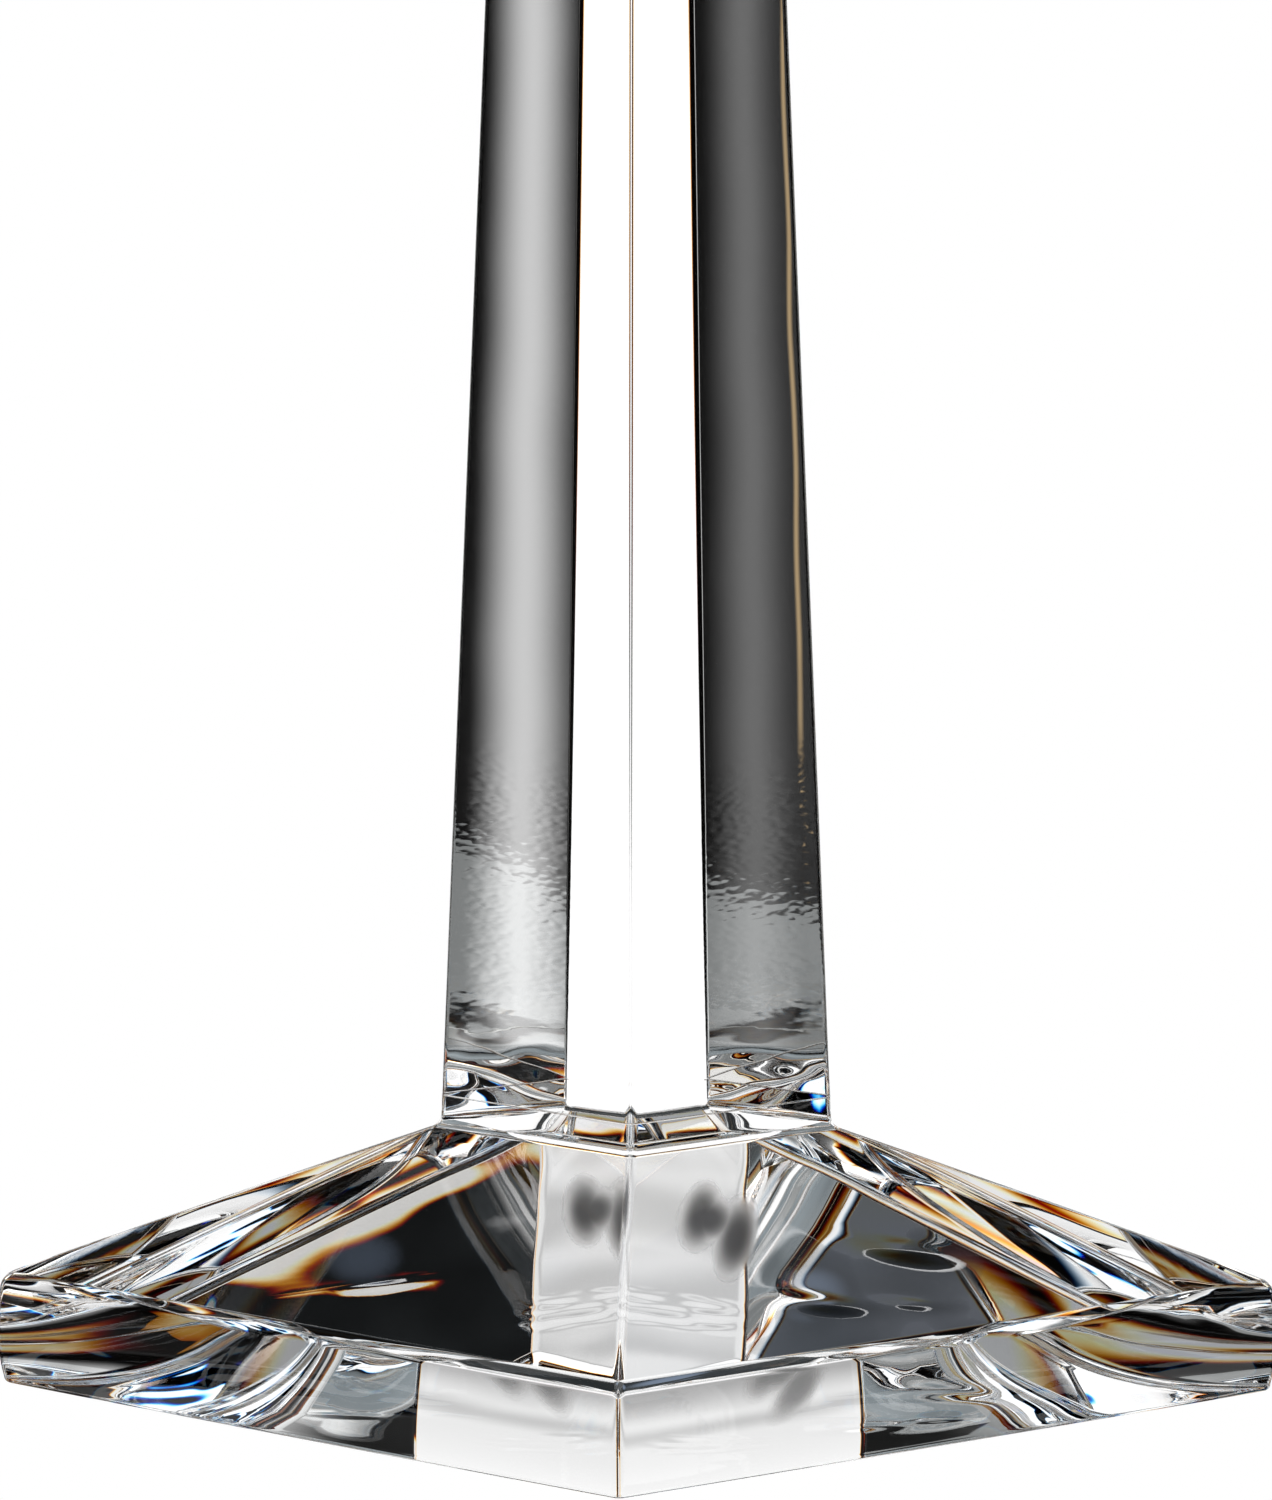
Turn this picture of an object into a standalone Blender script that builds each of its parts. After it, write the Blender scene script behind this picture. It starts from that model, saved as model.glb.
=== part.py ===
"""A crystal candlestick with a diamond-shaped plan.

Metres, +Z up, origin at the middle of the underside. The long diagonal of the plan lies along X
and the short one along Y, so an arris faces each axis. Foot, column and capital are solid
polished glass, bonded end to end by clear films. A thin metal cup stands loose in the socket.
"""

import math

import bmesh
import bpy

# Plan
PLAN_RATIO = 0.8  # short diagonal over long diagonal, the same at every height
ARRIS_RADIUS = 0.0011  # rounding of the four upright arrises
ARRIS_STEPS = 4

# Heights, from the underside up
BAND_HEIGHT = 0.0130
NECK_Z = 0.0315  # where the foot's hips meet the line of the column
FOOT_TOP_Z = 0.0345
CAPITAL_BASE_Z = 0.2174
CAPITAL_TOP_Z = 0.2529
CUP_RIM_Z = 0.2540  # top of the whole object

# Half of the long diagonal, at each level
FOOT_HALF = 0.0750
NECK_HALF = 0.0230
CAPITAL_HALF = 0.0280
COLUMN_TAPER = 0.0416  # how much the half diagonal shrinks per metre of height

# Foot and capital
EDGE_RADIUS = 0.0007  # rounding of the level edges
RIDGE_RADIUS = 0.0018  # rounding between the foot's band and its hipped slopes
FILLET_RADIUS = 0.0016  # hollow where a slope turns into the line of the column
CAPITAL_BAND = 0.0170
CAPITAL_NECK = 0.0030  # upright start of the capital, below its flare

# Joints
GAP = 0.0003  # clear space between neighbouring pieces
BOND_THICKNESS = 0.0003

# Socket and cup
CANDLE_BORE_RADIUS = 0.01125  # inside of the cup, for a 22 mm candle
CUP_WALL = 0.0008
CUP_DEPTH = 0.0220  # rim to inside floor
CUP_FLANGE_RADIUS = 0.0150
CUP_CORNER_RADIUS = 0.0020
CUP_RIM_RADIUS = 0.00036  # rounding of the flange's outer edge
SOCKET_RADIUS = CANDLE_BORE_RADIUS + CUP_WALL + GAP
CUTTER_RISE = 0.0070  # how far the socket's cutter stands above the capital
TURN_STEPS = 64
ARC_STEPS = 4
SMOOTH_ANGLE = math.radians(30)  # edges that bend less than this are shaded smooth

CRYSTAL = (0.93, 0.95, 0.95, 1.0)
BOND = (0.88, 0.91, 0.90, 1.0)
STEEL = (0.62, 0.61, 0.58, 1.0)


def column_half(z):
    """Half the long diagonal of the column's line at height z."""
    return NECK_HALF - COLUMN_TAPER * (z - NECK_Z)


def rounded(points, radii, steps=ARC_STEPS):
    """An outline with each corner that has a radius replaced by an arc tangent to both sides."""
    outline = []
    for index, (corner, radius) in enumerate(zip(points, radii)):
        if radius == 0:
            outline.append(corner)
            continue
        before, after = points[index - 1], points[(index + 1) % len(points)]
        to_before = math.atan2(before[1] - corner[1], before[0] - corner[0])
        to_after = math.atan2(after[1] - corner[1], after[0] - corner[0])
        turn = (to_after - to_before + math.pi) % (2 * math.pi) - math.pi
        middle = to_before + turn / 2
        to_centre = radius / math.sin(abs(turn) / 2)
        centre = (
            corner[0] + to_centre * math.cos(middle),
            corner[1] + to_centre * math.sin(middle),
        )
        sweep = math.copysign(math.pi - abs(turn), turn)
        for step in range(steps + 1):
            angle = middle + math.pi + sweep * (0.5 - step / steps)
            outline.append(
                (centre[0] + radius * math.cos(angle), centre[1] + radius * math.sin(angle))
            )
    return outline


def diamond(half, z):
    """One level outline: a rhombus with rounded corners, half wide along +X, anticlockwise."""
    face_angle = math.atan2(1, PLAN_RATIO)  # of the first face's normal, from +X
    points = []
    for quarter in range(4):
        axis_angle = quarter * math.pi / 2
        on_x_axis = quarter % 2 == 0
        reach = (half - ARRIS_RADIUS) * (1 if on_x_axis else PLAN_RATIO)
        spread = face_angle if on_x_axis else math.pi / 2 - face_angle
        for step in range(ARRIS_STEPS + 1):
            angle = axis_angle + spread * (2 * step / ARRIS_STEPS - 1)
            x = reach * math.cos(axis_angle) + ARRIS_RADIUS * math.cos(angle)
            y = reach * math.sin(axis_angle) + ARRIS_RADIUS * math.sin(angle)
            points.append((x, y, z))
    return points


def add_object(name, bm, material, z=0.0):
    """Turns a bmesh into a named object whose origin stands at height z on the axis."""
    bmesh.ops.recalc_face_normals(bm, faces=bm.faces)
    mesh = bpy.data.meshes.new(name)
    bm.to_mesh(mesh)
    bm.free()
    mesh.shade_smooth()
    mesh.set_sharp_from_angle(angle=SMOOTH_ANGLE)
    mesh.materials.append(material)
    thing = bpy.data.objects.new(name, mesh)
    thing.location.z = z
    bpy.context.scene.collection.objects.link(thing)
    return thing


def loft(name, profile, material, base_z):
    """A closed block through diamonds of the profile's (half diagonal, height), bottom first."""
    bm = bmesh.new()
    rings = []
    for half, z in profile:
        rings.append([bm.verts.new(point) for point in diamond(half, z - base_z)])
    count = len(rings[0])
    for lower, upper in zip(rings, rings[1:]):
        for i in range(count):
            j = (i + 1) % count
            bm.faces.new((lower[i], lower[j], upper[j], upper[i]))
    bm.faces.new(reversed(rings[0]))
    bm.faces.new(rings[-1])
    return add_object(name, bm, material, base_z)


def turned(name, profile, material, base_z):
    """A closed solid turned about Z from a loop of (radius, height); radius 0 lies on the axis."""
    bm = bmesh.new()
    rings = []
    for radius, z in profile:
        if radius == 0:
            rings.append([bm.verts.new((0, 0, z - base_z))])
            continue
        ring = []
        for step in range(TURN_STEPS):
            angle = 2 * math.pi * step / TURN_STEPS
            point = (radius * math.cos(angle), radius * math.sin(angle), z - base_z)
            ring.append(bm.verts.new(point))
        rings.append(ring)
    for inner, outer in zip(rings, rings[1:]):
        for i in range(TURN_STEPS):
            j = (i + 1) % TURN_STEPS
            if len(inner) == 1:
                bm.faces.new((inner[0], outer[i], outer[j]))
            elif len(outer) == 1:
                bm.faces.new((inner[i], inner[j], outer[0]))
            else:
                bm.faces.new((inner[i], inner[j], outer[j], outer[i]))
    return add_object(name, bm, material, base_z)


def make_material(name, colour, roughness, metallic=0.0, transmission=0.0):
    material = bpy.data.materials.new(name)
    material.use_nodes = True
    shader = material.node_tree.nodes["Principled BSDF"]
    shader.inputs["Base Color"].default_value = colour
    shader.inputs["Roughness"].default_value = roughness
    shader.inputs["Metallic"].default_value = metallic
    shader.inputs["Transmission Weight"].default_value = transmission
    return material


def make_foot(material):
    """Band, hipped slopes and the fillet that ends in the flat bonding face."""
    corners = [
        (0, 0),
        (FOOT_HALF, 0),
        (FOOT_HALF, BAND_HEIGHT),
        (NECK_HALF, NECK_Z),
        (column_half(FOOT_TOP_Z), FOOT_TOP_Z),
    ]
    radii = (0, EDGE_RADIUS, RIDGE_RADIUS, FILLET_RADIUS, 0)
    return loft("foot", rounded(corners, radii)[1:], material, 0.0)


def make_bond(name, base_z, half, material):
    """A thin clear film with the outline of the two faces it joins."""
    profile = [(half, base_z), (half, base_z + BOND_THICKNESS)]
    return loft(name, profile, material, base_z)


def make_column(base_z, top_z, material):
    """The tapered shaft, flat at both ends."""
    profile = [(column_half(base_z), base_z), (column_half(top_z), top_z)]
    return loft("column", profile, material, base_z)


def make_capital(material):
    """The flared head: the foot's form turned over and smaller, with the socket bored in its top."""
    neck_half = column_half(CAPITAL_BASE_Z)
    corners = [
        (neck_half, CAPITAL_BASE_Z),
        (neck_half, CAPITAL_BASE_Z + CAPITAL_NECK),
        (CAPITAL_HALF, CAPITAL_TOP_Z - CAPITAL_BAND),
        (CAPITAL_HALF, CAPITAL_TOP_Z),
        (0, CAPITAL_TOP_Z),
    ]
    radii = (0, FILLET_RADIUS, EDGE_RADIUS, EDGE_RADIUS, 0)
    capital = loft("capital", rounded(corners, radii)[:-1], material, CAPITAL_BASE_Z)
    socket_floor_z = CUP_RIM_Z - CUP_DEPTH - CUP_WALL - GAP
    above_z = CAPITAL_TOP_Z + CUTTER_RISE
    profile = [
        (0, socket_floor_z),
        (SOCKET_RADIUS, socket_floor_z),
        (SOCKET_RADIUS, above_z),
        (0, above_z),
    ]
    cutter = turned("socket_cutter", profile, material, socket_floor_z)
    cutter.hide_render = True
    cutter.display_type = "WIRE"
    bore = capital.modifiers.new("socket", "BOOLEAN")
    bore.operation = "DIFFERENCE"
    bore.solver = "EXACT"
    bore.object = cutter
    return capital, cutter


def make_cup(material):
    """The drawn metal cup: round floor corner, straight wall, and a flange over the capital."""
    outside = CANDLE_BORE_RADIUS + CUP_WALL
    floor_z = CUP_RIM_Z - CUP_DEPTH
    flange_z = CUP_RIM_Z - CUP_WALL
    corners = [
        (0, floor_z - CUP_WALL),
        (outside, floor_z - CUP_WALL),
        (outside, flange_z),
        (CUP_FLANGE_RADIUS, flange_z),
        (CUP_FLANGE_RADIUS, CUP_RIM_Z),
        (CANDLE_BORE_RADIUS, CUP_RIM_Z),
        (CANDLE_BORE_RADIUS, floor_z),
        (0, floor_z),
    ]
    radii = (
        0,
        CUP_CORNER_RADIUS,
        0,
        CUP_RIM_RADIUS,
        CUP_RIM_RADIUS,
        CUP_WALL,
        CUP_CORNER_RADIUS - CUP_WALL,
        0,
    )
    return turned("candle_cup", rounded(corners, radii), material, CUP_RIM_Z)


def main():
    for old in list(bpy.data.objects):
        bpy.data.objects.remove(old)
    crystal = make_material("crystal", CRYSTAL, 0.0, transmission=1.0)
    adhesive = make_material("adhesive", BOND, 0.05, transmission=1.0)
    steel = make_material("brushed_steel", STEEL, 0.28, metallic=1.0)

    foot_bond_z = FOOT_TOP_Z + GAP
    column_base_z = foot_bond_z + BOND_THICKNESS + GAP
    capital_bond_z = CAPITAL_BASE_Z - GAP - BOND_THICKNESS
    column_top_z = capital_bond_z - GAP

    pieces = [
        make_foot(crystal),
        make_bond("foot_bond", foot_bond_z, column_half(foot_bond_z), adhesive),
        make_column(column_base_z, column_top_z, crystal),
        make_bond("capital_bond", capital_bond_z, column_half(capital_bond_z), adhesive),
        *make_capital(crystal),
        make_cup(steel),
    ]
    candlestick = bpy.data.objects.new("candlestick", None)
    bpy.context.scene.collection.objects.link(candlestick)
    for piece in pieces:
        piece.parent = candlestick


main()
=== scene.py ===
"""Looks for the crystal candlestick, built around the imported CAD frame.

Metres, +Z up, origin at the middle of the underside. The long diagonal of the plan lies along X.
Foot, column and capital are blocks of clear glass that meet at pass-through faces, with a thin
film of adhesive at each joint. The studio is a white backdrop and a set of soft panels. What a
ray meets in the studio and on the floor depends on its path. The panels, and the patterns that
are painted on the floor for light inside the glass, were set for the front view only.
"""

import math

import bmesh
import bpy
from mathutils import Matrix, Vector, noise


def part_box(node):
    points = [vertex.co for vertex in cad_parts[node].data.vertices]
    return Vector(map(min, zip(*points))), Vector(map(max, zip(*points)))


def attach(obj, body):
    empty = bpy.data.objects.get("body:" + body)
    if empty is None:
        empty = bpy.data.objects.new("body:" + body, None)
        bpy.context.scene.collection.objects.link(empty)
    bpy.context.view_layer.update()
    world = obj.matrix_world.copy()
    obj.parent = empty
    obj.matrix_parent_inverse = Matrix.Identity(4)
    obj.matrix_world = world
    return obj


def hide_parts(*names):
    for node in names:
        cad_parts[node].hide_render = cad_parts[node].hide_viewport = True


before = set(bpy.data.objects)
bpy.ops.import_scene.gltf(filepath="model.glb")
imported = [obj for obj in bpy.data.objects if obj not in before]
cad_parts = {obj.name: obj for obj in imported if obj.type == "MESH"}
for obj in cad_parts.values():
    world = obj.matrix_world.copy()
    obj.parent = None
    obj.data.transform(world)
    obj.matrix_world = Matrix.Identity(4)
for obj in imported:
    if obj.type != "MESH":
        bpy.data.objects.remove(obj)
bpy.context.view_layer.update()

# ---------------------------------------------------------------- places, from the frame
_, FOOT_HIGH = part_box("foot")
COLUMN_LOW, COLUMN_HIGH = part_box("column")
CAPITAL_LOW, CAPITAL_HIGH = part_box("capital")
CUP_LOW, CUP_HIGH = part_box("candle_cup")
FOOT_JOINT = (FOOT_HIGH.z + COLUMN_LOW.z) / 2  # middle of the adhesive below the column
CAPITAL_JOINT = (COLUMN_HIGH.z + CAPITAL_LOW.z) / 2

# ---------------------------------------------------------------- plan and profile
ARRIS_RADIUS = 0.0011
FOOT_HALF = FOOT_HIGH.x
PLAN_RATIO = (FOOT_HIGH.y - ARRIS_RADIUS) / (FOOT_HALF - ARRIS_RADIUS)
BAND_HEIGHT = 0.0130
NECK_Z = 0.0315
NECK_HALF = 0.0230
COLUMN_TAPER = 0.0416  # how much the half diagonal shrinks per metre of height
EDGE_RADIUS = 0.0007
EDGE_INSET = 6 * EDGE_RADIUS  # where a level outline turns in past its rounded edge
FILLET_RADIUS = 0.0016
RIDGE_RADIUS = 0.0018
CAPITAL_HALF = CAPITAL_HIGH.x
CAPITAL_BAND = 0.0170
CAPITAL_NECK = 0.0030

# ---------------------------------------------------------------- polish, bows and ripples
CROWN = 0.012  # how far each upright face bulges, as a share of its width
HIP_BOW = 0.0004
BAND_BOW = 0.0008
RIPPLE = 0.00008
FOOT_WAVES = (60, 60, 60)  # waves of the ripple per metre, along X, Y and Z
CAPITAL_WAVES = (80, 80, 80)
COLUMN_RIPPLE = 0.00001
COLUMN_WAVES = (25, 25, 90)
NECK_WAVE = 0.00010
NECK_WAVE_REACH = 0.006
NECK_WAVE_PITCH = 130
LIQUID_TOP = 0.040  # the long slow waves of the column end here
RIPPLE_TOP = 0.066  # and the fine ripple over them ends here

# ---------------------------------------------------------------- underside
UNDER_WAVE = 0.00026
UNDER_PITCH = 35
UNDER_SLICE = 5  # which slice of the noise the underside uses
UNDER_RINGS = 80
NICKS = (  # small hollows: centre, reach and depth
    ((-0.0250, -0.0016), (0.0036, 0.0009), 0.00003),
    ((0.0180, -0.0080), (0.0040, 0.0024), 0.00012),
    ((0.0285, -0.0040), (0.0030, 0.0012), 0.00006),
    ((0.0260, 0.0120), (0.0050, 0.0030), 0.00016),
)
ROUGH_SHADED_SPOTS = (  # rough spots, tinted dark and dimmed as painted shade: centre and reach
    ((0.0018, 0.0125), (0.0042, 0.0085)),
    ((0.0008, 0.0130), (0.0030, 0.0125)),
    ((0.0056, 0.0080), (0.0030, 0.0150)),
)
SPOT_ROUGHNESS = 0.2
SPOT_SHADE_SHARE = 0.95  # share of the transmission that a spot takes away, as painted shade

# ---------------------------------------------------------------- adhesive, socket and cup
FILM_HALF = 0.0001  # half the thickness of each adhesive film
FILM_BULGE = 0.00004
SOCKET_RADIUS = 0.01235
SOCKET_LIP = 0.0004
SOCKET_FLOOR = CUP_LOW.z - 0.0003  # a clear gap below the seated cup
CUP_BORE = 0.01125
CUP_WALL = 0.0008
CUP_CORNER = 0.0020
CUP_ROLL = CUP_WALL * 0.45
CUP_STEPS = 144
CUP_ARC_STEPS = 10
CUP_HOLD = 0.00002

# ---------------------------------------------------------------- fineness of the meshes
ARRIS_STEPS = 8
SIDE_STEPS = 22
ARC_STEPS = 6
HOLD = 0.0002  # a flat face is exactly flat up to this far from its rounded edges
FINE_STEP = 0.0012
CUP_STEP = 0.0015
CAPITAL_STEP = 0.002
SMOOTH_ANGLE = math.radians(35)
MERGE_DISTANCE = 0.000001

# ---------------------------------------------------------------- material slots of a glass block
GLASS, THROUGH, BASE = 0, 1, 2
CRYSTAL_IOR = 1.52
ADHESIVE_IOR = 1.5
WHITE = (1, 1, 1, 1)

# ---------------------------------------------------------------- floor
FLOOR_HALF = 8
FLOOR_Z = -0.00005
TABLE_FRONT = 0.19
TABLE_SIDE = 0.06
# painted sheen: a grey glow on the floor in front, for light inside the glass
TABLE_SHEEN_GREY = (0.25, 0.26, 0.26, 1)
# painted shadow: the floor's colour below the foot, for light inside the glass
UNDER_FOOT_SHADOW = (0.24, 0.27, 0.285, 1)
FLANK_INNER = 0.040
FLANK_OUTER = 0.092
FLANK_DEPTH = 0.060
FLANK_FADE = 0.006
# a painted pool of soft blue light in that shadow
GLOW_CENTRE = (-0.0110, 0.0385)
GLOW_REACH = (0.0075, 0.0050)
GLOW_TINT = (0.16, 0.20, 0.27, 1)
SHEEN_GAP_CENTRE = (0.003, -0.115)  # a clear patch in the painted table sheen, which shows as a painted dark spot
SHEEN_GAP_SCALE = 130.0

# ---------------------------------------------------------------- studio; angles in degrees
BACKDROP = 1.15
BACK_HALF_ANGLE = 21
DARK = (0.0016, 0.0014, 0.0013, 1)
FRINGE = 1.0
DIPS = ((15.5, 3.9, 0.6), (10.0, 9.0, 0.24), (11.2, 1.3, 0.26))  # elevation, half width, depth
AMBER = (1.0, 0.72, 0.38, 1)
PANELS = (  # centre and half size, as azimuth and elevation, then tint and soft edge
    ((-67, 3.5), (7, 2.0), (0.80, 0.88, 1.00), 0.6),
    ((-14, 38), (10, 8), (0.90, 0.90, 0.91), 3.0),
    ((167, 36), (12, 6), (0.38, 0.39, 0.40), 3.0),
    ((-168, 35), (10, 6), (0.36, 0.37, 0.38), 3.0),
    ((28, 4.2), (6, 3.1), (0.90, 0.89, 0.87), 0.3),
    ((-129, 21), (6, 9), (0.86, 0.86, 0.87), 2.0),
    ((131, 21), (6, 9), (0.86, 0.86, 0.85), 2.0),
    ((170, 15), (9, 5), (0.40, 0.41, 0.43), 2.5),
    ((-166, 14), (9, 5), (0.40, 0.41, 0.43), 2.5),
    ((148, 31), (9, 4), (0.85, 0.86, 0.88), 2.5),
    ((-144, 35), (8, 5), (0.95, 0.95, 0.95), 2.5),
    ((-114, 14), (9, 12), (0.90, 0.93, 0.97), 3.0),
    ((-50, 16), (9, 7), (0.95, 0.93, 0.90), 3.0),
    ((-79, 41), (8, 5), (0.13, 0.14, 0.16), 3.0),
    ((112, 44), (7, 4), (0.42, 0.43, 0.45), 2.5),
)

# ---------------------------------------------------------------- camera
CAMERA_DISTANCE = 1.1
CAMERA_HEIGHT = 0.2381
CAMERA_AZIMUTH = math.radians(1.82)
CAMERA_PITCH = math.radians(8.38)
CAMERA_LENS = 268.5
CAMERA_SENSOR = 36
CAMERA_REACH = 50
VIEW_GAMMA = 0.9
LIGHT_BOUNCES = 32


# ---------------------------------------------------------------- outlines
def column_half(z):
    """Half the long diagonal of the column's line at height z."""
    return NECK_HALF - COLUMN_TAPER * (z - NECK_Z)


def rounded(points, radii, steps=ARC_STEPS, hold=HOLD):
    """A profile with arcs for the corners that have a radius, and a point held near each end."""
    outline = []
    for index, (corner, radius) in enumerate(zip(points, radii)):
        if radius == 0:
            outline.append(corner)
            continue
        before, after = points[index - 1], points[(index + 1) % len(points)]
        to_before = math.atan2(before[1] - corner[1], before[0] - corner[0])
        to_after = math.atan2(after[1] - corner[1], after[0] - corner[0])
        turn = (to_after - to_before + math.pi) % (2 * math.pi) - math.pi
        middle = to_before + turn / 2
        reach = radius / math.sin(abs(turn) / 2)
        centre = (corner[0] + reach * math.cos(middle), corner[1] + reach * math.sin(middle))
        sweep = math.copysign(math.pi - abs(turn), turn)
        start = radius / math.tan(abs(turn) / 2) + hold
        outline.append(beyond(corner, to_before, start))
        for step in range(steps + 1):
            angle = middle + math.pi + sweep * (0.5 - step / steps)
            outline.append(beyond(centre, angle, radius))
        outline.append(beyond(corner, to_after, start))
    return outline


def beyond(point, angle, distance):
    """The place at a distance from a point, in the direction of an angle."""
    return point[0] + distance * math.cos(angle), point[1] + distance * math.sin(angle)


def refined(outline, longest):
    """The same profile with long stretches divided."""
    fine = [outline[0]]
    for start, end in zip(outline, outline[1:]):
        pieces = max(1, math.ceil(math.dist(start, end) / longest))
        for step in range(1, pieces + 1):
            t = step / pieces
            fine.append((start[0] + (end[0] - start[0]) * t, start[1] + (end[1] - start[1]) * t))
    return fine


def bowed(outline, start, end, bow):
    """The stretch between two heights pushed out in a shallow arc."""
    moved = []
    for half, z in outline:
        t = min(max((z - start) / (end - start), 0), 1)
        moved.append((half + bow * 4 * t * (1 - t), z))
    return moved


def diamond(half):
    """Points of one level outline and their outward normals, anticlockwise from the +X corner."""
    face_angle = math.atan2(1, PLAN_RATIO)
    reach = ((half - ARRIS_RADIUS), (half - ARRIS_RADIUS) * PLAN_RATIO)
    points = []
    for quarter in range(4):
        axis_angle = quarter * math.pi / 2
        spread = face_angle if quarter % 2 == 0 else math.pi / 2 - face_angle
        near = reach[quarter % 2]
        here = (near * math.cos(axis_angle), near * math.sin(axis_angle))
        for step in range(ARRIS_STEPS + 1):
            angle = axis_angle + spread * (2 * step / ARRIS_STEPS - 1)
            normal = (math.cos(angle), math.sin(angle))
            x = here[0] + ARRIS_RADIUS * normal[0]
            y = here[1] + ARRIS_RADIUS * normal[1]
            points.append((x, y, *normal))
        next_angle = axis_angle + math.pi / 2
        far = reach[(quarter + 1) % 2]
        there = (far * math.cos(next_angle), far * math.sin(next_angle))
        normal = (math.cos(axis_angle + spread), math.sin(axis_angle + spread))
        length = math.dist(here, there)
        hold = HOLD / length
        for t in [hold] + [step / SIDE_STEPS for step in range(1, SIDE_STEPS)] + [1 - hold]:
            x = here[0] + (there[0] - here[0]) * t + ARRIS_RADIUS * normal[0]
            y = here[1] + (there[1] - here[1]) * t + ARRIS_RADIUS * normal[1]
            rise = CROWN * length * t * (1 - t)
            points.append((x + rise * normal[0], y + rise * normal[1], *normal))
    return points


# ---------------------------------------------------------------- meshes
def add_piece(name, bm, materials):
    """Turns a bmesh into a named, smooth-shaded object with its materials in slot order."""
    bmesh.ops.recalc_face_normals(bm, faces=bm.faces)
    mesh = bpy.data.meshes.new(name)
    bm.to_mesh(mesh)
    bm.free()
    mesh.shade_smooth()
    mesh.set_sharp_from_angle(angle=SMOOTH_ANGLE)
    for material in materials:
        mesh.materials.append(material)
    piece = bpy.data.objects.new(name, mesh)
    bpy.context.scene.collection.objects.link(piece)
    return piece


def stand_for(piece, body, cad_node):
    """The piece rides on a CAD body, in place of one CAD node."""
    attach(piece, body)
    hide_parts(cad_node)


def bridge(bm, lower, upper, slot=GLASS):
    """A strip of faces between two rings with the same number of points."""
    count = len(lower)
    for i in range(count):
        j = (i + 1) % count
        bm.faces.new((lower[i], lower[j], upper[j], upper[i])).material_index = slot


def cap(bm, ring, slot):
    """One flat face that closes a ring."""
    bm.faces.new(ring).material_index = slot


def lofted(profile, ripple=0, waves=(1, 1, 1)):
    """Rings of points through the profile's (half, z), rippled a little along their normals."""
    bm = bmesh.new()
    rings = []
    for half, z in profile:
        near_neck = NECK_WAVE * math.exp(-abs(z - NECK_Z) / NECK_WAVE_REACH)
        ring = []
        for x, y, nx, ny in diamond(half):
            lift = ripple * noise.noise(Vector((x * waves[0], y * waves[1], z * waves[2])))
            lift += near_neck * noise.noise(Vector((x, y, z)) * NECK_WAVE_PITCH)
            ring.append(bm.verts.new((x + nx * lift, y + ny * lift, z)))
        rings.append(ring)
    for lower, upper in zip(rings, rings[1:]):
        bridge(bm, lower, upper)
    return bm, rings


def underside_z(x, y, edge_z):
    """The ground underside: a hair off flat, with a slow wave, never below its edge."""
    slow = noise.noise(Vector((x * UNDER_PITCH, y * UNDER_PITCH, UNDER_SLICE)))
    wave = UNDER_WAVE * (1 + slow) / 2
    for centre, reach, depth in NICKS:
        across = (x - centre[0]) / reach[0]
        along = (y - centre[1]) / reach[1]
        wave += depth * math.exp(-across * across - along * along)
    return edge_z + wave


def underside(bm, edge):
    """Closes the bottom with rings that shrink to the middle."""
    edge_z = edge[0].co.z
    last_ring = edge
    for step in range(1, UNDER_RINGS):
        share = 1 - step / UNDER_RINGS
        ring = []
        for v in edge:
            x, y = v.co.x * share, v.co.y * share
            ring.append(bm.verts.new((x, y, underside_z(x, y, edge_z))))
        bridge(bm, ring, last_ring, BASE)
        last_ring = ring
    middle = bm.verts.new((0, 0, underside_z(0, 0, edge_z)))
    count = len(last_ring)
    for i in range(count):
        corners = (last_ring[i], middle, last_ring[(i + 1) % count])
        bm.faces.new(corners).material_index = BASE


def circle_under(bm, ring, radius, z):
    """A level circle with one point in the direction of each point of the ring."""
    verts = []
    for v in ring:
        angle = math.atan2(v.co.y, v.co.x)
        verts.append(bm.verts.new((radius * math.cos(angle), radius * math.sin(angle), z)))
    return verts


# ---------------------------------------------------------------- pieces
def make_foot(crystal, through, base_with_painted_shade):
    """Band, hipped slopes and fillet, closed by the ground underside and the bonded top."""
    top = FOOT_JOINT - FILM_HALF
    corners = [
        (FOOT_HALF - EDGE_INSET, 0),
        (FOOT_HALF, 0),
        (FOOT_HALF, BAND_HEIGHT),
        (NECK_HALF, NECK_Z),
        (column_half(top), top),
    ]
    profile = rounded(corners, (0, EDGE_RADIUS, RIDGE_RADIUS, FILLET_RADIUS, 0))
    outline = bowed(refined(profile[1:], FINE_STEP), BAND_HEIGHT, NECK_Z, HIP_BOW)
    outline = bowed(outline, EDGE_RADIUS, BAND_HEIGHT, BAND_BOW)
    bm, rings = lofted(outline, RIPPLE, FOOT_WAVES)
    underside(bm, rings[0])
    cap(bm, rings[-1], THROUGH)
    # the underside's material carries spots of painted shade
    foot = add_piece("foot_block", bm, [crystal, through, base_with_painted_shade])
    stand_for(foot, "candlestick", "foot")


def make_column(crystal, through):
    """The tapered shaft, bonded at both ends."""
    ends = [(column_half(z), z) for z in (FOOT_JOINT + FILM_HALF, CAPITAL_JOINT - FILM_HALF)]
    bm, rings = lofted(refined(ends, FINE_STEP), COLUMN_RIPPLE, COLUMN_WAVES)
    cap(bm, list(reversed(rings[0])), THROUGH)
    cap(bm, rings[-1], THROUGH)
    column = add_piece("column_block", bm, [crystal, through])
    stand_for(column, "candlestick", "column")


def make_film(name, joint, cad_node, adhesive, through):
    """The clear adhesive between two blocks, swelling a hair past their faces."""
    profile = [
        (column_half(joint - FILM_HALF), joint - FILM_HALF),
        (column_half(joint) + FILM_BULGE, joint),
        (column_half(joint + FILM_HALF), joint + FILM_HALF),
    ]
    bm, rings = lofted(profile)
    cap(bm, list(reversed(rings[0])), THROUGH)
    cap(bm, rings[-1], THROUGH)
    film = add_piece(name, bm, [adhesive, through])
    stand_for(film, "candlestick", cad_node)


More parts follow.
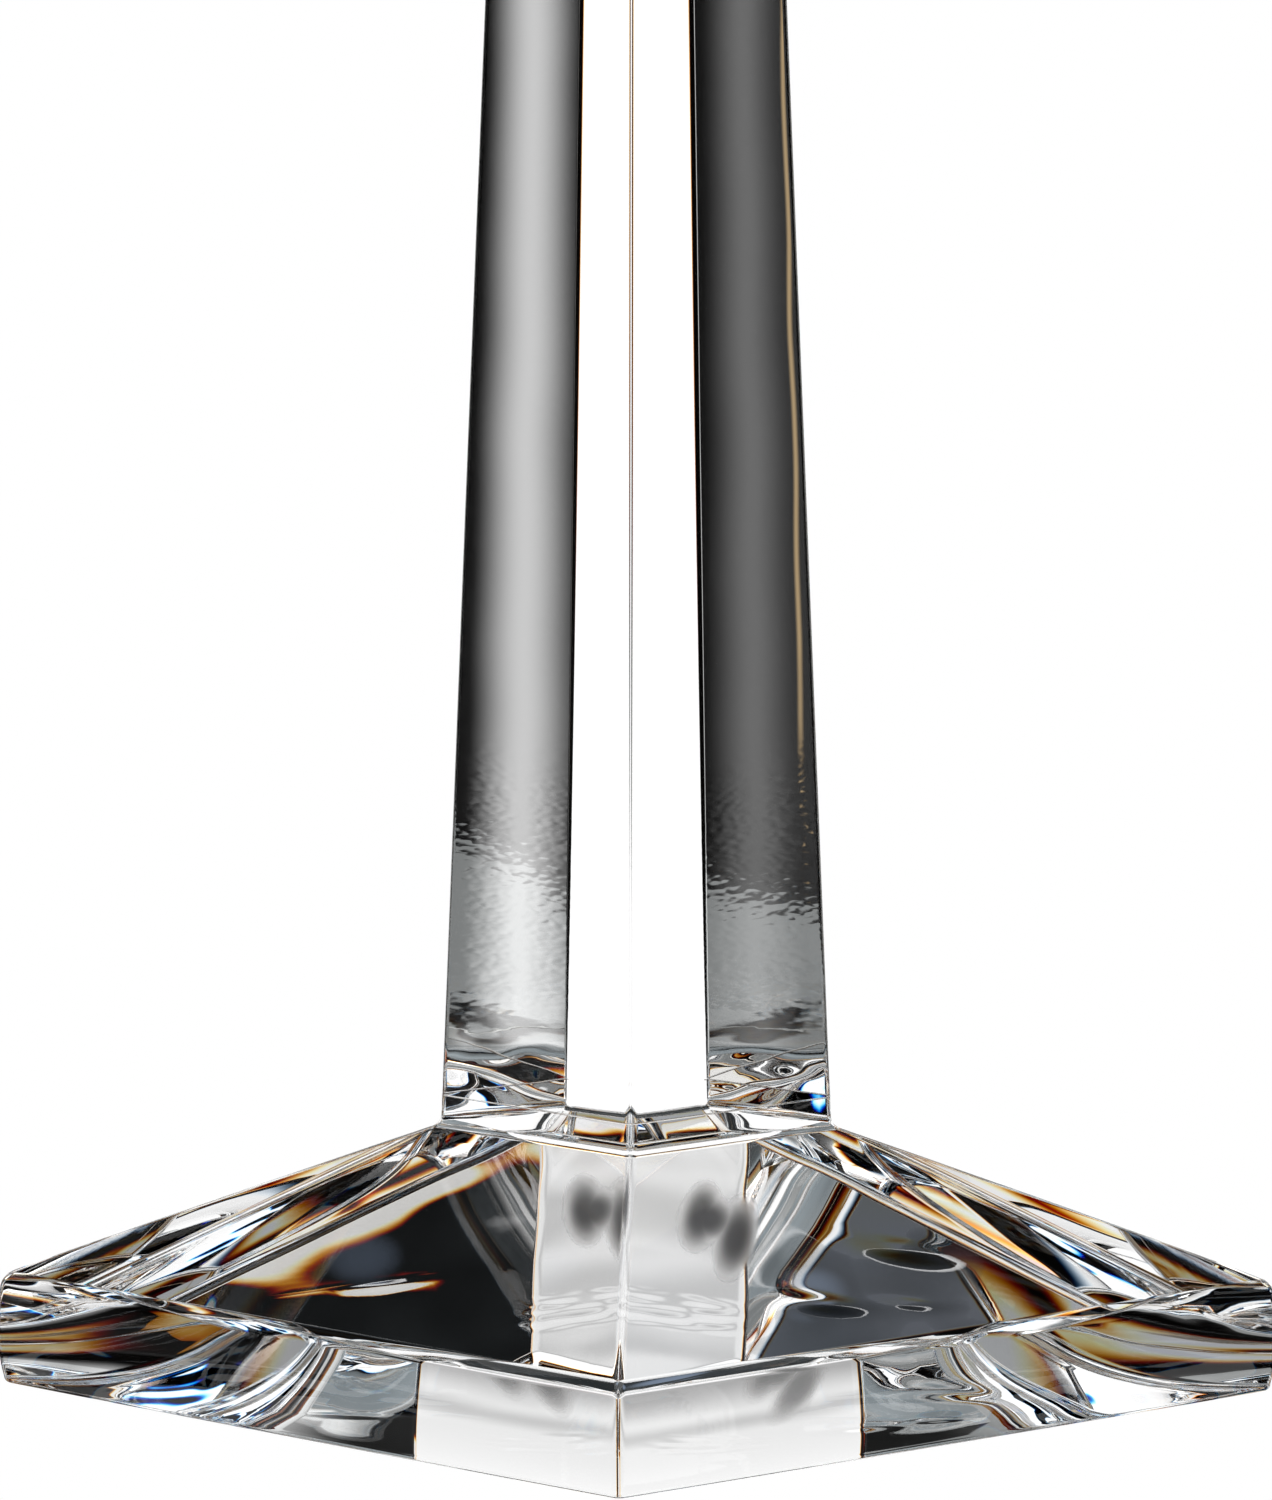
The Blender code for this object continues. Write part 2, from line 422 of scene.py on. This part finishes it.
def make_capital(crystal, through):
    """The flared head with the candle socket in its top."""
    bottom = CAPITAL_JOINT + FILM_HALF
    neck_half = column_half(bottom)
    corners = [
        (neck_half, bottom),
        (neck_half, CAPITAL_LOW.z + CAPITAL_NECK),
        (CAPITAL_HALF, CAPITAL_HIGH.z - CAPITAL_BAND),
        (CAPITAL_HALF, CAPITAL_HIGH.z),
        (CAPITAL_HALF - EDGE_INSET, CAPITAL_HIGH.z),
    ]
    profile = rounded(corners, (0, FILLET_RADIUS, EDGE_RADIUS, EDGE_RADIUS, 0))
    bm, rings = lofted(refined(profile[:-1], CAPITAL_STEP), RIPPLE, CAPITAL_WAVES)
    cap(bm, list(reversed(rings[0])), THROUGH)
    top = rings[-1]
    mouth = circle_under(bm, top, SOCKET_RADIUS + SOCKET_LIP, CAPITAL_HIGH.z)
    lip = circle_under(bm, top, SOCKET_RADIUS, CAPITAL_HIGH.z - SOCKET_LIP)
    socket_base = circle_under(bm, top, SOCKET_RADIUS, SOCKET_FLOOR)
    bridge(bm, top, mouth)
    bridge(bm, mouth, lip)
    bridge(bm, lip, socket_base)
    cap(bm, socket_base, GLASS)
    capital = add_piece("capital_block", bm, [crystal, through])
    stand_for(capital, "candlestick", "capital")


def make_cup(steel):
    """The drawn cup: round floor corner, straight wall and a softly rolled flange."""
    rim_z = CUP_HIGH.z
    floor_z = CUP_LOW.z + CUP_WALL
    outside = CUP_BORE + CUP_WALL
    corners = [
        (0, CUP_LOW.z),
        (outside, CUP_LOW.z),
        (outside, rim_z - CUP_WALL),
        (CUP_HIGH.x, rim_z - CUP_WALL),
        (CUP_HIGH.x, rim_z),
        (CUP_BORE, rim_z),
        (CUP_BORE, floor_z),
        (0, floor_z),
    ]
    inner_corner = CUP_CORNER - CUP_WALL
    radii = (0, CUP_CORNER, CUP_ROLL / 2, CUP_ROLL, CUP_ROLL, CUP_WALL, inner_corner, 0)
    profile = refined(rounded(corners, radii, CUP_ARC_STEPS, CUP_HOLD), CUP_STEP)
    bm = bmesh.new()
    rings = []
    for radius, z in profile:
        ring = []
        for step in range(CUP_STEPS):
            angle = 2 * math.pi * step / CUP_STEPS
            ring.append(bm.verts.new((radius * math.cos(angle), radius * math.sin(angle), z)))
        rings.append(ring)
    for lower, upper in zip(rings, rings[1:]):
        bridge(bm, lower, upper)
    bmesh.ops.remove_doubles(bm, verts=bm.verts, dist=MERGE_DISTANCE)
    cup = add_piece("steel_cup", bm, [steel])
    stand_for(cup, "candle_cup", "candle_cup")


# ---------------------------------------------------------------- node helpers
def node(tree, kind, **settings):
    """A new node with its settings."""
    made = tree.nodes.new(kind)
    for name, value in settings.items():
        setattr(made, name, value)
    return made


def calc(tree, operation, *values):
    """A Math node fed with sockets or numbers."""
    made = node(tree, "ShaderNodeMath", operation=operation)
    for socket, value in zip(made.inputs, values):
        if isinstance(value, (int, float)):
            socket.default_value = value
        else:
            tree.links.new(value, socket)
    return made.outputs[0]


def add(tree, a, b):
    """The sum of two sockets or numbers."""
    return calc(tree, "ADD", a, b)


def subtract(tree, a, b):
    """The first less the second."""
    return calc(tree, "SUBTRACT", a, b)


def times(tree, a, b):
    """The product of two sockets or numbers."""
    return calc(tree, "MULTIPLY", a, b)


def size_of(tree, value):
    """The value without its sign."""
    return calc(tree, "ABSOLUTE", value)


def step_between(tree, value, low, high):
    """0 at low, 1 at high, smooth between; low may be above high."""
    made = node(tree, "ShaderNodeMapRange", interpolation_type="SMOOTHSTEP")
    flip = low > high
    made.inputs["From Min"].default_value = high if flip else low
    made.inputs["From Max"].default_value = low if flip else high
    made.inputs["To Min"].default_value = 1 if flip else 0
    made.inputs["To Max"].default_value = 0 if flip else 1
    tree.links.new(value, made.inputs["Value"])
    return made.outputs[0]


def combined(tree, red, green, blue):
    """A colour made from three levels."""
    colour = node(tree, "ShaderNodeCombineColor")
    for channel, level in zip(("Red", "Green", "Blue"), (red, green, blue)):
        tree.links.new(level, colour.inputs[channel])
    return colour.outputs[0]


def grey(tree, level):
    """A colour with the same level in all three channels."""
    return combined(tree, level, level, level)


def fringed(tree, value, low, high, spread):
    """A step whose red, green and blue fall a little apart, to imitate light split by glass."""
    levels = [step_between(tree, value, low + shift, high + shift) for shift in (spread, 0, -spread)]
    return combined(tree, *levels)


def mixed_colour(tree, operation, a, b, share=1):
    """A colour Mix node; a, b and share are sockets or plain values."""
    made = node(tree, "ShaderNodeMix", data_type="RGBA", blend_type=operation)
    for socket, value in zip((made.inputs[0], made.inputs[6], made.inputs[7]), (share, a, b)):
        if isinstance(value, (int, float, tuple)):
            socket.default_value = value
        else:
            tree.links.new(value, socket)
    return made.outputs[2]


def streak(tree, around, centre, half_width, strength):
    """A soft bright band in direction, strongest at centre, fading out at half_width."""
    away = size_of(tree, subtract(tree, around, centre))
    return times(tree, step_between(tree, away, half_width, 0.0), strength)


def blob(tree, x, y, centre, reach):
    """1 in the middle of a level ellipse, fading to 0 at its edge."""
    across = calc(tree, "DIVIDE", subtract(tree, x, centre[0]), reach[0])
    along = calc(tree, "DIVIDE", subtract(tree, y, centre[1]), reach[1])
    square = add(tree, times(tree, across, across), times(tree, along, along))
    return step_between(tree, square, 1.0, 0.0)


def own_place(tree):
    """The piece's own coordinates, whole and as x, y and z."""
    place = node(tree, "ShaderNodeTexCoord").outputs["Object"]
    split = node(tree, "ShaderNodeSeparateXYZ")
    tree.links.new(place, split.inputs[0])
    return place, split.outputs[0], split.outputs[1], split.outputs[2]


# ---------------------------------------------------------------- materials
def new_material(name):
    """An empty node material and its tree."""
    material = bpy.data.materials.new(name)
    material.use_nodes = True
    material.node_tree.nodes.clear()
    return material, material.node_tree


def principled(tree, **values):
    """A Principled shader on the material's output, with plain values on its sockets."""
    out = node(tree, "ShaderNodeOutputMaterial")
    shader = node(tree, "ShaderNodeBsdfPrincipled")
    for name, value in values.items():
        shader.inputs[name.replace("_", " ")].default_value = value
    tree.links.new(shader.outputs[0], out.inputs[0])
    return shader


def glass_shader(tree):
    """Clear polished crystal."""
    shader = principled(tree, Base_Color=WHITE, Roughness=0.0, IOR=CRYSTAL_IOR)
    shader.inputs["Transmission Weight"].default_value = 1.0
    return shader


def rippled(tree, place, scale, height, share=None, below=None):
    """Fine ripple as a bump, where share is above zero, laid over the bump below it."""
    stretch = node(tree, "ShaderNodeMapping")
    stretch.inputs["Scale"].default_value = scale
    tree.links.new(place, stretch.inputs[0])
    ripple = node(tree, "ShaderNodeTexNoise")
    ripple.inputs["Scale"].default_value = 1.0
    ripple.inputs["Detail"].default_value = 0.0
    tree.links.new(stretch.outputs[0], ripple.inputs["Vector"])
    bump = node(tree, "ShaderNodeBump")
    bump.inputs["Strength"].default_value = 1.0
    bump.inputs["Distance"].default_value = height
    tree.links.new(ripple.outputs[0], bump.inputs["Height"])
    if share:
        tree.links.new(share, bump.inputs["Strength"])
    if below:
        tree.links.new(below, bump.inputs["Normal"])
    return bump.outputs[0]


def crystal_material():
    """Fire-polished crystal: long slow waves just above the foot and a fine ripple over them."""
    fade, top_fade = 0.006, 0.008
    liquid_scale, liquid_height = (50, 50, 420), 0.00002
    ripple_scale, ripple_height = (420, 420, 1700), 0.0000045
    material, tree = new_material("crystal")
    shader = glass_shader(tree)
    place, _, _, height = own_place(tree)
    above_foot = step_between(tree, height, NECK_Z, NECK_Z + 0.004)
    low_column = times(tree, step_between(tree, height, LIQUID_TOP + fade, LIQUID_TOP), above_foot)
    below_top = step_between(tree, height, RIPPLE_TOP + top_fade, RIPPLE_TOP)
    on_column = times(tree, below_top, above_foot)
    on_column = times(tree, on_column, step_between(tree, height, LIQUID_TOP, LIQUID_TOP + fade))
    liquid = rippled(tree, place, liquid_scale, liquid_height, low_column)
    fine = rippled(tree, place, ripple_scale, ripple_height, on_column, liquid)
    tree.links.new(fine, shader.inputs["Normal"])
    return material


def base_material():
    """The same crystal on the underside: ripple near the middle, and rough spots whose dark tint and
    dimming are painted shade.
    """
    ripple_scale, ripple_height = (200, 400, 300), 0.00005
    ripple_y = -0.0165
    # the spots' dark tint is painted shade
    spot_shade_tint = (0.05, 0.05, 0.055, 1)
    material, tree = new_material("base_with_painted_shade")
    shader = glass_shader(tree)
    place, x, y, _ = own_place(tree)
    near_x = step_between(tree, size_of(tree, x), 0.0100, 0.0050)
    near_y = step_between(tree, size_of(tree, subtract(tree, y, ripple_y)), 0.0065, 0.0035)
    ripple = rippled(tree, place, ripple_scale, ripple_height, times(tree, near_x, near_y))
    tree.links.new(ripple, shader.inputs["Normal"])
    spots = [blob(tree, x, y, centre, reach) for centre, reach in ROUGH_SHADED_SPOTS]
    shade_and_rough_spots = spots[0]
    for spot in spots[1:]:
        shade_and_rough_spots = calc(tree, "MAXIMUM", shade_and_rough_spots, spot)
    tree.links.new(times(tree, shade_and_rough_spots, SPOT_ROUGHNESS), shader.inputs["Roughness"])
    # each spot loses most of its clearness: painted shade
    clear = subtract(tree, 1.0, times(tree, shade_and_rough_spots, SPOT_SHADE_SHARE))
    tree.links.new(clear, shader.inputs["Transmission Weight"])
    tint = mixed_colour(tree, "MIX", WHITE, spot_shade_tint, shade_and_rough_spots)
    tree.links.new(tint, shader.inputs["Base Color"])
    return material


def adhesive_material():
    """Cured clear adhesive: a touch warmer and softer than the glass, with a fine wavy skin."""
    warm = (0.97, 0.96, 0.92, 1)
    skin_scale, skin_height = (700, 700, 2500), 0.00001
    material, tree = new_material("adhesive")
    shader = principled(tree, Base_Color=warm, Roughness=0.12, IOR=ADHESIVE_IOR)
    shader.inputs["Transmission Weight"].default_value = 1.0
    place, _, _, _ = own_place(tree)
    tree.links.new(rippled(tree, place, skin_scale, skin_height), shader.inputs["Normal"])
    return material


def through_material():
    """A bonded face, which light crosses as if it weren't there."""
    material, tree = new_material("bonded_face")
    out = node(tree, "ShaderNodeOutputMaterial")
    shader = node(tree, "ShaderNodeBsdfTransparent")
    tree.links.new(shader.outputs[0], out.inputs[0])
    return material


def turned_rings(tree, x, y, z):
    """The fine rings that a lathe leaves, as a bump."""
    rings_per_metre = 9000.0
    square = add(tree, calc(tree, "POWER", x, 2.0), calc(tree, "POWER", y, 2.0))
    radius = calc(tree, "SQRT", square)
    across = node(tree, "ShaderNodeCombineXYZ")
    tree.links.new(times(tree, radius, rings_per_metre), across.inputs[0])
    tree.links.new(times(tree, z, rings_per_metre), across.inputs[1])
    rings = node(tree, "ShaderNodeTexNoise", noise_dimensions="2D")
    rings.inputs["Scale"].default_value = 1.0
    rings.inputs["Detail"].default_value = 4.0
    tree.links.new(across.outputs[0], rings.inputs["Vector"])
    bump = node(tree, "ShaderNodeBump")
    bump.inputs["Strength"].default_value = 0.6
    bump.inputs["Distance"].default_value = 0.00002
    tree.links.new(rings.outputs[0], bump.inputs["Height"])
    return bump.outputs[0]


def steel_material():
    """Drawn steel: fine turned rings, a soft spread of roughness, and a rim polished by handling."""
    bright, smudged = (0.66, 0.65, 0.62, 1), (0.50, 0.48, 0.45, 1)
    least_rough, rough_spread, rim_polish = 0.14, 0.30, 0.07
    material, tree = new_material("steel")
    shader = principled(tree, Metallic=1.0)
    place, x, y, z = own_place(tree)
    tree.links.new(turned_rings(tree, x, y, z), shader.inputs["Normal"])
    smudge = node(tree, "ShaderNodeTexNoise")
    smudge.inputs["Scale"].default_value = 260
    smudge.inputs["Detail"].default_value = 5.0
    tree.links.new(place, smudge.inputs["Vector"])
    rim = step_between(tree, z, CUP_HIGH.z - 0.0010, CUP_HIGH.z - 0.0003)
    rough = add(tree, times(tree, smudge.outputs[0], rough_spread), least_rough)
    rough = subtract(tree, rough, times(tree, rim, rim_polish))
    tree.links.new(rough, shader.inputs["Roughness"])
    share = step_between(tree, smudge.outputs[0], 0.45, 0.75)
    tree.links.new(mixed_colour(tree, "MIX", bright, smudged, share), shader.inputs["Base Color"])
    return material


# ---------------------------------------------------------------- floor
def shadow_under_foot(tree, place, x, y):
    """Painted grey below the foot: mottled, darker to the back, with one soft blue glow."""
    # the mottle stands for light that the glass throws into the painted shadow
    mottle = node(tree, "ShaderNodeTexNoise")
    mottle.inputs["Scale"].default_value = 60
    tree.links.new(place, mottle.inputs["Vector"])
    depth = add(tree, times(tree, step_between(tree, y, 0.012, -0.012), 0.85), 0.15)
    depth = times(tree, depth, add(tree, times(tree, mottle.outputs[0], 1.6), 0.2))
    shadow = mixed_colour(tree, "MULTIPLY", grey(tree, depth), UNDER_FOOT_SHADOW)
    spot = grey(tree, blob(tree, x, y, GLOW_CENTRE, GLOW_REACH))
    return mixed_colour(tree, "ADD", shadow, mixed_colour(tree, "MULTIPLY", spot, GLOW_TINT))


def caustic_swirl(tree, place):
    """A painted stand-in for the swirls of light that the glass would throw on the floor."""
    swirl = node(tree, "ShaderNodeTexNoise")
    swirl.inputs["Scale"].default_value = 80
    swirl.inputs["Detail"].default_value = 0.0
    swirl.inputs["Distortion"].default_value = 1.2
    tree.links.new(place, swirl.inputs["Vector"])
    return fringed(tree, swirl.outputs[0], 0.53, 0.56, 0.010)


def flank_share(tree, side, y, unseen):
    """1 on the floor beside the foot's ends, for light that doesn't go straight to the camera."""
    inner = step_between(tree, side, FLANK_INNER, FLANK_INNER + FLANK_FADE)
    outer = step_between(tree, side, FLANK_OUTER, FLANK_OUTER - FLANK_FADE)
    deep = step_between(tree, size_of(tree, y), FLANK_DEPTH, FLANK_DEPTH - 0.010)
    return times(tree, times(tree, times(tree, inner, outer), deep), unseen)


def table_sheen(tree, x, side, y):
    """How much painted grey sheen the table in front adds, with a clear patch in it."""
    slant = times(tree, calc(tree, "MAXIMUM", x, 0.0), 1.5)
    nearer = subtract(tree, y, slant)
    in_front = step_between(tree, nearer, -TABLE_FRONT - 0.006, -TABLE_FRONT + 0.006)
    # a painted dark spot: the painted sheen is left out around one point
    along = times(tree, subtract(tree, y, SHEEN_GAP_CENTRE[1]), SHEEN_GAP_SCALE)
    across = times(tree, subtract(tree, x, SHEEN_GAP_CENTRE[0]), SHEEN_GAP_SCALE)
    square = add(tree, calc(tree, "POWER", along, 2.0), calc(tree, "POWER", across, 2.0))
    outside_gap = step_between(tree, calc(tree, "SQRT", square), 0.5, 1.2)
    beside = step_between(tree, side, TABLE_SIDE + 0.02, TABLE_SIDE)
    return times(tree, times(tree, in_front, outside_gap), beside)


def floor_material():
    """Plain white to the camera; to other light, a painted shadow, painted swirls of light and a
    painted grey table sheen.
    """
    material, tree = new_material("pale_floor")
    out = node(tree, "ShaderNodeOutputMaterial")
    seen = node(tree, "ShaderNodeLightPath").outputs["Is Camera Ray"]
    unseen = subtract(tree, 1.0, seen)
    place = node(tree, "ShaderNodeNewGeometry").outputs["Position"]
    split = node(tree, "ShaderNodeSeparateXYZ")
    tree.links.new(place, split.inputs[0])
    x, y = split.outputs[0], split.outputs[1]
    side = size_of(tree, x)

    short = calc(tree, "DIVIDE", size_of(tree, y), PLAN_RATIO)
    below_foot = step_between(tree, add(tree, side, short), FOOT_HALF, FOOT_HALF - 0.003)
    # where the floor shows the painted shadow and the painted swirls of light
    marked = calc(tree, "MAXIMUM", below_foot, flank_share(tree, side, y, unseen))
    # painted light: for light inside the glass, the floor behind the foot is lit white in a narrow
    # wedge
    wedge = subtract(tree, side, times(tree, y, 0.30))
    behind = step_between(tree, y, -0.01, 0.01)
    behind = times(tree, behind, step_between(tree, wedge, 0.06, 0.045))
    solid = calc(tree, "MAXIMUM", calc(tree, "MAXIMUM", marked, behind), seen)

    shadow = shadow_under_foot(tree, place, x, y)
    toward_ends = step_between(tree, side, 0.026, 0.036)
    shadow = mixed_colour(tree, "MIX", shadow, caustic_swirl(tree, place), toward_ends)
    paint = mixed_colour(tree, "MIX", WHITE, shadow, marked)
    glow = node(tree, "ShaderNodeEmission")
    tree.links.new(paint, glow.inputs[0])
    tree.links.new(add(tree, times(tree, unseen, BACKDROP - 1), 1.0), glow.inputs[1])

    sheen = node(tree, "ShaderNodeEmission")
    sheen.inputs[0].default_value = TABLE_SHEEN_GREY
    tree.links.new(table_sheen(tree, x, side, y), sheen.inputs[1])
    clear = node(tree, "ShaderNodeBsdfTransparent")
    both = node(tree, "ShaderNodeAddShader")
    tree.links.new(clear.outputs[0], both.inputs[0])
    tree.links.new(sheen.outputs[0], both.inputs[1])
    mix = node(tree, "ShaderNodeMixShader")
    tree.links.new(solid, mix.inputs[0])
    tree.links.new(both.outputs[0], mix.inputs[1])
    tree.links.new(glow.outputs[0], mix.inputs[2])
    tree.links.new(mix.outputs[0], out.inputs[0])
    return material


def make_floor():
    """One large level square, a hair below the foot."""
    mesh = bpy.data.meshes.new("floor")
    signs = ((-1, -1), (1, -1), (1, 1), (-1, 1))
    corners = [(FLOOR_HALF * sx, FLOOR_HALF * sy, FLOOR_Z) for sx, sy in signs]
    mesh.from_pydata(corners, [], [(0, 1, 2, 3)])
    mesh.materials.append(floor_material())
    floor = bpy.data.objects.new("floor", mesh)
    bpy.context.scene.collection.objects.link(floor)


# ---------------------------------------------------------------- studio
def panel(tree, azimuth, elevation, centre, half_size, tint, edge):
    """A soft-edged lit rectangle in the sky; angles in degrees."""
    sides = []
    for angle, middle, half in zip((azimuth, elevation), centre, half_size):
        away = size_of(tree, subtract(tree, angle, middle))
        sides.append(fringed(tree, away, half + edge, half - edge, FRINGE * edge / 2))
    shape = mixed_colour(tree, "MULTIPLY", sides[0], sides[1])
    return mixed_colour(tree, "MULTIPLY", shape, (*tint, 1))


def backdrop(tree, azimuth, elevation):
    """The white sheet behind the object, a little darker at a few heights."""
    edges = (BACK_HALF_ANGLE + 2, BACK_HALF_ANGLE - 2)
    sheet = fringed(tree, size_of(tree, azimuth), *edges, FRINGE)
    dips = [streak(tree, elevation, *dip) for dip in DIPS]
    depth = add(tree, add(tree, dips[0], dips[1]), dips[2])
    return mixed_colour(tree, "MULTIPLY", sheet, grey(tree, subtract(tree, BACKDROP, depth)))


def low_streaks(tree, azimuth, elevation):
    """Upright streaks of light below the horizon, one of them amber, repeated every quarter turn."""
    around = calc(tree, "WRAP", azimuth, 45.0, -45.0)
    left = streak(tree, around, 4.2, 5.8, 0.66)
    right = streak(tree, around, -8.5, 5.0, 0.19)
    low = step_between(tree, elevation, 0.0, -8.0)
    white = grey(tree, times(tree, add(tree, left, right), low))
    amber = streak(tree, around, -13.3, 0.45, 0.45)
    amber = times(tree, amber, step_between(tree, elevation, -16.8, -15.5))
    amber = grey(tree, times(tree, amber, low))
    return mixed_colour(tree, "ADD", white, mixed_colour(tree, "MULTIPLY", amber, AMBER))


def make_studio():
    """White for the camera's own rays, plain zones after one crossing, panels after more."""
    world = bpy.data.worlds.new("studio")
    bpy.context.scene.world = world
    world.use_nodes = True
    tree = world.node_tree
    tree.nodes.clear()
    out = node(tree, "ShaderNodeOutputWorld")
    light = node(tree, "ShaderNodeBackground")
    tree.links.new(light.outputs[0], out.inputs[0])
    split = node(tree, "ShaderNodeSeparateXYZ")
    tree.links.new(node(tree, "ShaderNodeTexCoord").outputs["Generated"], split.inputs[0])
    azimuth = calc(tree, "DEGREES", calc(tree, "ARCTAN2", split.outputs[0], split.outputs[1]))
    elevation = calc(tree, "DEGREES", calc(tree, "ARCSINE", split.outputs[2]))

    outside = mixed_colour(tree, "ADD", backdrop(tree, azimuth, elevation), DARK)
    deep = mixed_colour(tree, "ADD", outside, low_streaks(tree, azimuth, elevation))
    deep = mixed_colour(tree, "ADD", deep, fringed(tree, elevation, 50, 56, 0.3))
    for centre, half_size, tint, edge in PANELS:
        lit = panel(tree, azimuth, elevation, centre, half_size, tint, edge)
        deep = mixed_colour(tree, "ADD", deep, lit)
    near = size_of(tree, calc(tree, "WRAP", azimuth, 22.5, -22.5))
    bright = (BACKDROP, BACKDROP, BACKDROP, 1)
    clear = mixed_colour(tree, "MULTIPLY", fringed(tree, near, 13, 10, 0.6), bright)

    path = node(tree, "ShaderNodeLightPath")
    first_surface = calc(tree, "LESS_THAN", path.outputs["Ray Depth"], 1.5)
    shallow = calc(tree, "LESS_THAN", path.outputs["Ray Depth"], 2.5)
    no_mirror = calc(tree, "LESS_THAN", path.outputs["Glossy Depth"], 0.5)
    inside = mixed_colour(tree, "MIX", deep, outside, first_surface)
    through = mixed_colour(tree, "MIX", inside, clear, times(tree, shallow, no_mirror))
    pick = mixed_colour(tree, "MIX", through, WHITE, path.outputs["Is Camera Ray"])
    tree.links.new(pick, light.inputs[0])


# ---------------------------------------------------------------- camera
def make_camera():
    """The photograph's viewing angle, a little above the foot and just off its front arris."""
    data = bpy.data.cameras.new("camera")
    data.sensor_fit = "HORIZONTAL"
    data.sensor_width = CAMERA_SENSOR
    data.lens = CAMERA_LENS
    data.clip_end = CAMERA_REACH
    camera = bpy.data.objects.new("camera", data)
    x = CAMERA_DISTANCE * math.sin(CAMERA_AZIMUTH)
    y = -CAMERA_DISTANCE * math.cos(CAMERA_AZIMUTH)
    camera.location = (x, y, CAMERA_HEIGHT)
    camera.rotation_euler = (math.pi / 2 - CAMERA_PITCH, 0, CAMERA_AZIMUTH)
    bpy.context.scene.collection.objects.link(camera)
    bpy.context.scene.camera = camera


def set_up_light_paths():
    """Enough bounces for light to cross the thick glass many times."""
    scene = bpy.context.scene
    scene.view_settings.view_transform = "Standard"
    scene.view_settings.gamma = VIEW_GAMMA
    scene.cycles.max_bounces = LIGHT_BOUNCES
    scene.cycles.transmission_bounces = LIGHT_BOUNCES
    scene.cycles.glossy_bounces = LIGHT_BOUNCES
    scene.cycles.transparent_max_bounces = LIGHT_BOUNCES
    scene.cycles.use_denoising = True


# ---------------------------------------------------------------- the candlestick and its stage
crystal_look = crystal_material()
through_look = through_material()
adhesive_look = adhesive_material()
make_foot(crystal_look, through_look, base_material())
make_column(crystal_look, through_look)
make_film("foot_film", FOOT_JOINT, "foot_bond", adhesive_look, through_look)
make_film("capital_film", CAPITAL_JOINT, "capital_bond", adhesive_look, through_look)
make_capital(crystal_look, through_look)
make_cup(steel_material())
make_floor()
make_studio()
make_camera()
set_up_light_paths()
